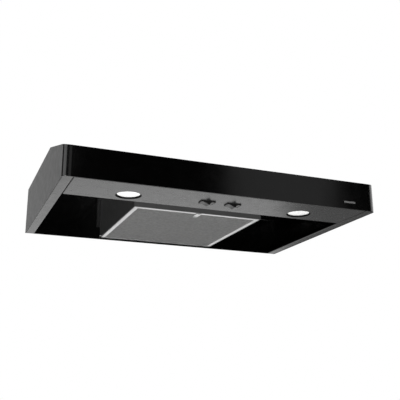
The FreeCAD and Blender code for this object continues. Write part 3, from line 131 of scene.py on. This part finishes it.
# name: (centre, point it faces, width, height, power in watts)
LIGHTS = {
    "low_panel_behind": ((0.41, 2.5, -1.15), (0.0, -0.1, -0.12), 2.53, 1.5, 9.6),
    "side_panel_light": ((-0.75, 3.2, 1.0), (-0.38, 0.0, -0.06), 1.6, 1.4, 3.5),
    "front_soft_box": ((1.27, -2.4, 0.8), (0.1, -0.34, -0.08), 0.64, 1.6, 1.4),
    "overhead": ((0.3, -0.2, 2.6), (0.0, 0.0, 0.0), 2.4, 2.4, 30.0),
    "low_key": ((-0.9, -2.3, -1.6), (0.0, 0.0, -0.12), 1.0, 0.8, 100.0),
    "top_edge_strip": ((0.7, -0.65, 1.7), (0.0, -0.34, -0.05), 1.6, 0.3, 20.0),
    "corner_panel_left": ((-1.75, -0.96, 0.36), (-0.38, -0.34, -0.08), 1.15, 0.5, 3.8),
    "corner_panel_front": ((-1.36, -2.31, 0.57), (-0.38, -0.34, -0.08), 1.5, 0.6, 5.6),
    "corner_strip": ((-0.19, -2.75, 0.63), (-0.38, -0.34, -0.08), 0.36, 0.8, 0.45),
    "right_corner_panel": ((2.35, -0.69, 0.45), (0.38, -0.34, -0.08), 2.3, 0.7, 15.0),
}


def make_lights():
    """Soft boxes round the hood, which cameras don't see."""
    for name, (centre, target, width, height, power) in LIGHTS.items():
        data = bpy.data.lights.new(name, "AREA")
        data.shape = "RECTANGLE"
        data.size = width
        data.size_y = height
        data.energy = power
        light = bpy.data.objects.new(name, data)
        bpy.context.scene.collection.objects.link(light)
        light.location = centre
        light.rotation_mode = "QUATERNION"
        light.rotation_quaternion = (Vector(target) - Vector(centre)).to_track_quat("-Z", "Y")
        light.visible_camera = False


def make_floor():
    """Plain pale floor, a round sheet well below the hood."""
    mesh = bpy.data.meshes.new("floor")
    form = bmesh.new()
    bmesh.ops.create_circle(form, cap_ends=True, radius=FLOOR_RADIUS, segments=FLOOR_SEGMENTS)
    form.to_mesh(mesh)
    form.free()
    floor = bpy.data.objects.new("floor", mesh)
    floor.location = (0, 0, CAD_BOX[0].z - FLOOR_DROP)
    bpy.context.scene.collection.objects.link(floor)
    darker, lighter = FLOOR_COLOURS
    finish = Finish("floor_finish", darker, FLOOR_ROUGHNESS)
    finish.vary_colour(darker, lighter, FLOOR_CLOUDS)
    mesh.materials.append(finish.material)


# ---------------------------------------------------------------- materials
# nearly all of a noise texture's values lie in this span
NOISE_SPAN = (0.3, 0.7)
COLOUR_DETAIL = 3.0
ROUGHNESS_DETAIL = 4.0

# sockets of a mix node that mixes two colours
MIX_FACTOR = 0
MIX_FIRST = 6
MIX_SECOND = 7
MIX_RESULT = 2


class Finish:
    """A material: its principled shader, and short ways to wire textures into it."""

    def __init__(self, name, colour, roughness, **constants):
        """A plain material; constants are other sockets of the shader by name, such as metallic."""
        self.material = bpy.data.materials.new(name)
        self.material.use_nodes = True
        tree = self.material.node_tree
        self.nodes = tree.nodes
        self.links = tree.links
        self.shader = next(node for node in tree.nodes if node.type == "BSDF_PRINCIPLED")
        self.shader.inputs["Base Color"].default_value = colour
        self.shader.inputs["Roughness"].default_value = roughness
        for key, value in constants.items():
            socket = key.replace("_", " ").title().replace("Ior", "IOR")
            self.shader.inputs[socket].default_value = value
        self.material.diffuse_color = colour
        self.place = self.node("ShaderNodeTexCoord").outputs["Object"]

    def node(self, kind, inputs=(), **settings):
        """A new node; inputs are (socket, value or other socket) pairs."""
        made = self.nodes.new(kind)
        for key, value in settings.items():
            setattr(made, key, value)
        for key, value in inputs:
            if isinstance(value, bpy.types.NodeSocket):
                self.links.new(value, made.inputs[key])
            else:
                made.inputs[key].default_value = value
        return made

    def stretched(self, scale):
        """Object coordinates scaled by a factor per axis."""
        return self.node("ShaderNodeMapping", [("Vector", self.place), ("Scale", scale)]).outputs[0]

    def noise(self, scale, detail=2.0, place=None):
        """Noise of about 1/scale metres."""
        inputs = [("Vector", place or self.place), ("Scale", scale), ("Detail", detail)]
        return self.node("ShaderNodeTexNoise", inputs).outputs["Fac"]

    def cells(self, scale, feature="F1", output="Distance"):
        """Cell texture of about 1/scale metres."""
        inputs = [("Vector", self.place), ("Scale", scale)]
        return self.node("ShaderNodeTexVoronoi", inputs, feature=feature).outputs[output]

    def remap(self, value, low, high, start=0.0, end=1.0):
        """Value from low..high carried to start..end, and held there outside."""
        pairs = [("Value", value), ("From Min", low), ("From Max", high)]
        pairs += [("To Min", start), ("To Max", end)]
        return self.node("ShaderNodeMapRange", pairs).outputs[0]

    def cloud(self, scale, detail, start=0.0, end=1.0):
        """Soft clouds of about 1/scale metres, from start to end."""
        return self.remap(self.noise(scale, detail), *NOISE_SPAN, start, end)

    def math(self, operation, first, second=0.0):
        """One arithmetic step."""
        return self.node("ShaderNodeMath", [(0, first), (1, second)], operation=operation).outputs[0]

    def mixed(self, factor, first, second):
        """Colour between two colours."""
        pairs = [(MIX_FACTOR, factor), (MIX_FIRST, first), (MIX_SECOND, second)]
        return self.node("ShaderNodeMix", pairs, data_type="RGBA").outputs[MIX_RESULT]

    def set_colour(self, colour):
        """Wire a colour into the shader."""
        self.links.new(colour, self.shader.inputs["Base Color"])

    def set_roughness(self, value):
        """Wire a value into the shader's roughness."""
        self.links.new(value, self.shader.inputs["Roughness"])

    def vary_colour(self, first, second, scale):
        """Cloudy change between two colours."""
        self.set_colour(self.mixed(self.cloud(scale, COLOUR_DETAIL), first, second))

    def vary_roughness(self, low, high, scale):
        """Cloudy change of roughness."""
        self.set_roughness(self.cloud(scale, ROUGHNESS_DETAIL, low, high))

    def bump(self, height, depth, strength=1.0):
        """Relief of a depth in metres."""
        pairs = [("Height", height), ("Distance", depth), ("Strength", strength)]
        relief = self.node("ShaderNodeBump", pairs).outputs[0]
        self.links.new(relief, self.shader.inputs["Normal"])

    def inward(self):
        """1 on faces that look towards the middle of the hood's shell, else 0: the mask of the painted
        inner shade and of the smoother inside enamel.
        """
        low, high = CAD_BOX
        middle = (low + high) / 2
        middle.z = low.z / 2
        ends = [(0, self.place), (1, middle)]
        reach = self.node("ShaderNodeVectorMath", ends, operation="SUBTRACT").outputs[0]
        facing = self.node("ShaderNodeTexCoord").outputs["Normal"]
        pair = [(0, facing), (1, reach)]
        along = self.node("ShaderNodeVectorMath", pair, operation="DOT_PRODUCT").outputs["Value"]
        return self.math("LESS_THAN", along, 0.0)


def grey(level, warmth=0.0):
    """Neutral colour, a little warm or cool."""
    return (level * (1 + warmth), level, level * (1 - warmth), 1.0)


def dimmed(colour, share):
    """A colour at a share of its brightness."""
    return tuple(level * share for level in colour[:3]) + (1.0,)


def gloss_black(name):
    """Gloss enamel with a faint orange peel."""
    finish = Finish(name, grey(0.0004), roughness=0.13)
    finish.vary_colour(grey(0.0003), grey(0.0005), scale=20.0)
    finish.vary_roughness(low=0.11, high=0.15, scale=35.0)
    finish.bump(finish.noise(scale=260.0, detail=1.0), depth=4e-6)
    return finish.material


# shares of the colour between which it is clouded: the enamel's own colour outside, and the painted
# shade inside
OUTSIDE_CLOUDS = (0.92, 1.08)
INSIDE_CLOUDS = (0.8, 1.2)
# how much less rough the enamel is inside, how much it varies, and its grain's scale and relief
INSIDE_GLOSS = 0.18
ENAMEL_WEAR = 0.03
ENAMEL_GRAIN_SCALE = 1900.0
ENAMEL_GRAIN = 2.5e-6


def satin_enamel(name, outside, painted_shade_inside, roughness):
    """Satin baked enamel: fine pebbled grain, with painted shade that darkens the faces inside the
    hood.
    """
    finish = Finish(name, grey(outside), roughness)
    cloud = finish.cloud(scale=9.0, detail=COLOUR_DETAIL)
    outer = finish.mixed(cloud, *(grey(outside * share) for share in OUTSIDE_CLOUDS))
    inner_painted_shade = finish.mixed(cloud, *(grey(painted_shade_inside * share) for share in INSIDE_CLOUDS))
    within = finish.inward()
    # painted shade: faces inside the hood's shell take a far darker colour, which stands in for the
    # shade in the cavity
    finish.set_colour(finish.mixed(within, outer, inner_painted_shade))
    smoother = finish.math("MULTIPLY", within, INSIDE_GLOSS)
    wear = {"start": roughness - ENAMEL_WEAR, "end": roughness + ENAMEL_WEAR}
    worn = finish.cloud(scale=60.0, detail=ROUGHNESS_DETAIL, **wear)
    finish.set_roughness(finish.math("SUBTRACT", worn, smoother))
    finish.bump(finish.noise(ENAMEL_GRAIN_SCALE), ENAMEL_GRAIN)
    return finish.material


PLASTIC_WEAR = 0.06


def moulded_plastic(name, colour, roughness, grain=1500.0, depth=8e-6, **constants):
    """Moulded plastic with a fine spark grain."""
    finish = Finish(name, colour, roughness, **constants)
    finish.vary_colour(dimmed(colour, share=0.85), colour, scale=45.0)
    finish.vary_roughness(roughness - PLASTIC_WEAR, roughness + PLASTIC_WEAR, scale=120.0)
    finish.bump(finish.noise(grain), depth)
    return finish.material


# streaks of a rolled sheet per metre along X, Y and Z
ROLLING_STREAKS = (30.0, 900.0, 900.0)


def rolled_metal(name, colour, roughness):
    """Mill finish sheet: fine streaks along the rolling direction."""
    finish = Finish(name, colour, roughness, metallic=1.0)
    place = finish.stretched(ROLLING_STREAKS)
    streaks = finish.noise(scale=1.0, detail=COLOUR_DETAIL, place=place)
    brightness = finish.remap(streaks, *NOISE_SPAN)
    finish.set_colour(finish.mixed(brightness, dimmed(colour, share=0.86), colour))
    finish.vary_roughness(low=roughness - 0.05, high=roughness + 0.07, scale=70.0)
    finish.bump(streaks, depth=3e-6)
    return finish.material


def galvanised(name):
    """Zinc coated sheet with a faint spangle."""
    finish = Finish(name, grey(0.42), roughness=0.42, metallic=1.0)
    spangle = finish.cells(scale=95.0, output="Color")
    flake = finish.node("ShaderNodeSeparateColor", [(0, spangle)]).outputs[0]
    finish.set_colour(finish.mixed(flake, grey(0.36, warmth=-0.01), grey(0.50, warmth=-0.02)))
    finish.set_roughness(finish.remap(flake, low=0.0, high=1.0, start=0.32, end=0.52))
    finish.bump(finish.noise(scale=420.0), depth=6e-6)
    return finish.material


def plated(name, colour, roughness):
    """Bright plated steel with small marks."""
    finish = Finish(name, colour, roughness, metallic=1.0)
    finish.vary_colour(dimmed(colour, share=0.8), colour, scale=300.0)
    finish.vary_roughness(low=roughness - 0.06, high=roughness + 0.12, scale=500.0)
    finish.bump(finish.noise(scale=1200.0), depth=4e-6)
    return finish.material


LENS_GLOW = (1.0, 1.0, 0.98, 1.0)


def milky_lens(name):
    """Milky diffuser with a fine prismatic grain, softly lit from behind."""
    finish = Finish(name, grey(0.93), roughness=0.28, emission_strength=0.12, emission_color=LENS_GLOW)
    finish.vary_colour(grey(0.90), grey(0.94), scale=60.0)
    finish.vary_roughness(low=0.22, high=0.34, scale=150.0)
    finish.bump(finish.cells(scale=700.0), depth=2e-5, strength=0.5)
    return finish.material


def filter_strands(name):
    """Expanded aluminium: dull grey strands with a slight shine."""
    finish = Finish(name, grey(0.42), roughness=0.45, metallic=0.85)
    finish.vary_colour(grey(0.34), grey(0.46), scale=130.0)
    finish.vary_roughness(low=0.38, high=0.55, scale=200.0)
    finish.bump(finish.noise(scale=1500.0), depth=6e-6)
    return finish.material


def sheath(name):
    """Smooth black lead sheath, very slightly uneven."""
    finish = Finish(name, grey(0.02), roughness=0.42)
    finish.vary_colour(grey(0.016), grey(0.026), scale=60.0)
    finish.vary_roughness(low=0.36, high=0.5, scale=90.0)
    finish.bump(finish.noise(scale=600.0), depth=1e-5)
    return finish.material


ZINC = (0.62, 0.61, 0.58, 1.0)
BRASS = (0.66, 0.52, 0.26, 1.0)
NYLON = (0.68, 0.66, 0.58, 1.0)
# the inside levels are painted shade: a far darker colour on the faces inside the shell, which stands
# in for the shade there
HOOD_ENAMEL = {"outside": 0.020, "painted_shade_inside": 0.0004, "roughness": 0.36}
UNDERSIDE_ENAMEL = {"outside": 0.019, "painted_shade_inside": 0.0004, "roughness": 0.26}
FILTER_BOX_ENAMEL = {"outside": 0.042, "painted_shade_inside": 0.010, "roughness": 0.42}
# painted shade: the wiring box's near black stands in for the shade inside the hood
WIRING_BOX_PAINTED_SHADE = {"outside": 0.0006, "painted_shade_inside": 0.0004, "roughness": 0.2}
SHINY_PLASTIC = {"roughness": 0.32, "specular_ior_level": 0.8}
DULL_PLASTIC = {"roughness": 0.55, "specular_ior_level": 0.1}
MOTOR_ENAMEL = {"roughness": 0.38, "grain": 700.0, "depth": 1e-5}
RUBBER = {"roughness": 0.7, "grain": 900.0, "depth": 2e-5}


def make_finishes():
    """One material for each of the record's slots."""
    return {
        "gloss_black": gloss_black("gloss_black_enamel"),
        "badge_grey": moulded_plastic("badge_satin_grey", grey(0.10), roughness=0.4),
        "hood_paint": satin_enamel("hood_satin_black_inner_painted_shade", **HOOD_ENAMEL),
        "underside_paint": satin_enamel("underside_satin_charcoal_inner_painted_shade", **UNDERSIDE_ENAMEL),
        "plenum_paint": satin_enamel("filter_box_satin_black_inner_painted_shade", **FILTER_BOX_ENAMEL),
        "black_plastic": moulded_plastic("black_moulded_plastic", grey(0.003), **SHINY_PLASTIC),
        "lens_white": milky_lens("milky_lens"),
        "board_white": moulded_plastic("board_solder_mask", grey(0.8), roughness=0.4),
        "lamp_can_metal": rolled_metal("lamp_can_drawn_metal", grey(0.55), roughness=0.35),
        "galvanised": galvanised("galvanised_sheet"),
        "zinc_steel": plated("zinc_plated_steel", ZINC, roughness=0.28),
        "spring_steel": plated("spring_steel_strip", grey(0.42), roughness=0.25),
        "filter_aluminium": rolled_metal("filter_frame_aluminium", grey(0.72), roughness=0.34),
        "filter_mesh": filter_strands("expanded_aluminium"),
        "wheel_plastic": moulded_plastic("wheel_moulded_plastic", grey(0.028), roughness=0.5),
        "motor_grey": moulded_plastic("motor_grey_enamel", grey(0.16), **MOTOR_ENAMEL),
        "grommet_rubber": moulded_plastic("grommet_rubber", grey(0.012), **RUBBER),
        "terminal_brass": plated("tinned_brass", BRASS, roughness=0.3),
        "lead_sheath": sheath("lead_sheath_black"),
        "clip_nylon": moulded_plastic("natural_nylon", NYLON, roughness=0.4),
    }


def make_special_finishes():
    """Materials of single nodes that differ from the rest of their slot: a little for the lamp trims,
    and for the wiring box a near black of painted shade.
    """
    flared = moulded_plastic("black_flared_trim", grey(0.0015), **DULL_PLASTIC)
    # painted shade: the wiring box is made nearly black all over, which stands in for the shade it
    # sits in
    shaded = satin_enamel("wiring_cover_painted_shade", **WIRING_BOX_PAINTED_SHADE)
    return {"left_lamp_trim": flared, "right_lamp_trim": flared, "wiring_box": shaded}


def dress_nodes(finishes, special):
    """Give every CAD node its own finish if it has one, else the finish of its slot."""
    for name, node in NODES.items():
        material = special.get(name, finishes[SLOTS[name]])
        for slot in node.material_slots:
            slot.material = material


# ---------------------------------------------------------------- filter screens
STRAND_LONG = 7.2 * MM
STRAND_SHORT = 3.6 * MM
STRAND_WIDTH = 0.62 * MM
STRAND_THICK = 0.5 * MM
STRAND_TILT = 24.0
# share of its width by which each strand runs past its ends, into the next one
STRAND_OVERLAP = 0.3
SCREEN_MARGIN = 5.0 * MM

# screen: (node that it replaces, size of its cells against the smaller ones)
SCREENS = {
    "filter_screen_lower": ("filter_mesh_lower", 1),
    "filter_screen_upper": ("filter_mesh_upper", 2),
}


def strand(form, start, end, width, thick, tilt):
    """One slim closed bar from start to end, turned about its own length by a tilt."""
    way = (end - start).normalized()
    flat = way.cross(Vector((0, 0, 1))).normalized()
    turn = Matrix.Rotation(tilt, 3, way)
    across = turn @ flat * (width / 2)
    raised = turn @ Vector((0, 0, 1)) * (thick / 2)
    rims = []
    for point in (start - way * width * STRAND_OVERLAP, end + way * width * STRAND_OVERLAP):
        offsets = (across + raised, raised - across, -across - raised, across - raised)
        rims.append([form.verts.new(point + offset) for offset in offsets])
    for index in range(4):
        after = (index + 1) % 4
        form.faces.new((rims[0][index], rims[0][after], rims[1][after], rims[1][index]))
    form.faces.new(rims[0][::-1])
    form.faces.new(rims[1])


def expanded_screen(name, node, long, short, finish):
    """Expanded metal screen over a node's plan, half way up it, its diamond cells long by short."""
    low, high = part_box(node)
    columns = int((high.x - low.x - 2 * SCREEN_MARGIN) / (long / 2))
    rows = int((high.y - low.y - 2 * SCREEN_MARGIN) / (short / 2))
    corner_x = (low.x + high.x - columns * long / 2) / 2
    corner_y = (low.y + high.y - rows * short / 2) / 2
    corner = Vector((corner_x, corner_y, (low.z + high.z) / 2))
    form = bmesh.new()
    for column in range(columns):
        for row in range(rows):
            rises = (column + row) % 2 == 0
            starts, ends = (row, row + 1) if rises else (row + 1, row)
            left = corner + Vector((column * long / 2, starts * short / 2, 0))
            right = corner + Vector(((column + 1) * long / 2, ends * short / 2, 0))
            tilt = math.radians(STRAND_TILT if rises else -STRAND_TILT)
            strand(form, left, right, STRAND_WIDTH, STRAND_THICK, tilt)
    return finish_piece(name, form, finish)


def finish_piece(name, form, finish):
    """Object from a bmesh, with its finish."""
    mesh = bpy.data.meshes.new(name)
    form.to_mesh(mesh)
    form.free()
    mesh.materials.append(finish)
    piece = bpy.data.objects.new(name, mesh)
    bpy.context.scene.collection.objects.link(piece)
    return piece


PAD_CELL = 2.4 * MM
PAD_RELIEF = 0.55 * MM
PAD_MARGIN = SCREEN_MARGIN / 2
# crimps: radians from one cell to the next along X and Y; they and chance make half of the relief each
CRIMP_X = 1.3
CRIMP_Y = 1.1
CRIMP_SHARE = 0.5
PAD_SEED = 5


def crumple_points(form, low, high, columns, rows):
    """Vertices of the pad's lower (-1) and upper (1) face, by side, column and row."""
    wide = high.x - low.x - 2 * PAD_MARGIN
    deep = high.y - low.y - 2 * PAD_MARGIN
    step = Vector((wide / columns, deep / rows))
    dice = random.Random(PAD_SEED)
    points = {}
    for side, level in ((-1, low.z + PAD_RELIEF), (1, high.z - PAD_RELIEF)):
        for column in range(columns + 1):
            for row in range(rows + 1):
                crimp = math.sin(column * CRIMP_X) * math.cos(row * CRIMP_Y)
                wave = CRIMP_SHARE * crimp + CRIMP_SHARE * dice.uniform(-1, 1)
                x = low.x + PAD_MARGIN + column * step.x
                y = low.y + PAD_MARGIN + row * step.y
                points[side, column, row] = form.verts.new((x, y, level + wave * PAD_RELIEF))
    return points


def crumpled_pad(name, node, finish):
    """Grease pad of crimped foil: a closed slab whose two faces are crumpled."""
    low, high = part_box(node)
    columns = int((high.x - low.x - 2 * PAD_MARGIN) / PAD_CELL)
    rows = int((high.y - low.y - 2 * PAD_MARGIN) / PAD_CELL)
    form = bmesh.new()
    points = crumple_points(form, low, high, columns, rows)
    for side in (-1, 1):
        for column in range(columns):
            for row in range(rows):
                ring = [points[side, column, row], points[side, column + 1, row]]
                ring += [points[side, column + 1, row + 1], points[side, column, row + 1]]
                form.faces.new(ring if side > 0 else ring[::-1])
    rim = [(column, 0) for column in range(columns)]
    rim += [(columns, row) for row in range(rows)]
    rim += [(column, rows) for column in range(columns, 0, -1)]
    rim += [(0, row) for row in range(rows, 0, -1)]
    for here, after in zip(rim, rim[1:] + rim[:1]):
        edge = (points[(-1, *here)], points[(-1, *after)])
        form.faces.new(edge + (points[(1, *after)], points[(1, *here)]))
    return finish_piece(name, form, finish)


def pad_foil(name):
    """Crimped foil seen through the screen: mid grey ridges, with painted shade darkening the gaps
    between them.
    """
    finish = Finish(name, grey(0.2), roughness=0.5, metallic=0.6)
    shaded_creases = finish.remap(finish.cells(scale=420.0, feature="DISTANCE_TO_EDGE"), low=0.0, high=0.3)
    # painted shade: the foil is darkened along the cell edges, where the creases would be in shade
    finish.set_colour(finish.mixed(shaded_creases, grey(0.24), grey(0.05)))
    finish.vary_roughness(low=0.42, high=0.6, scale=240.0)
    finish.bump(shaded_creases, depth=-2.5e-4)
    return finish.material


def make_filter(finishes):
    """The filter's two screens and its pad, in place of the plain layers."""
    metal = finishes["filter_mesh"]
    for name, (node, times) in SCREENS.items():
        screen = expanded_screen(name, node, times * STRAND_LONG, times * STRAND_SHORT, metal)
        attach(screen, "filter")
        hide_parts(node)
    pad = crumpled_pad("filter_pad", "filter_core", pad_foil("filter_pad_foil"))
    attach(pad, "filter")
    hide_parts("filter_core")


# ---------------------------------------------------------------- assembly
bpy.context.scene.view_settings.view_transform = "Standard"
make_camera()
make_world()
make_lights()
make_floor()
finishes = make_finishes()
dress_nodes(finishes, make_special_finishes())
make_filter(finishes)
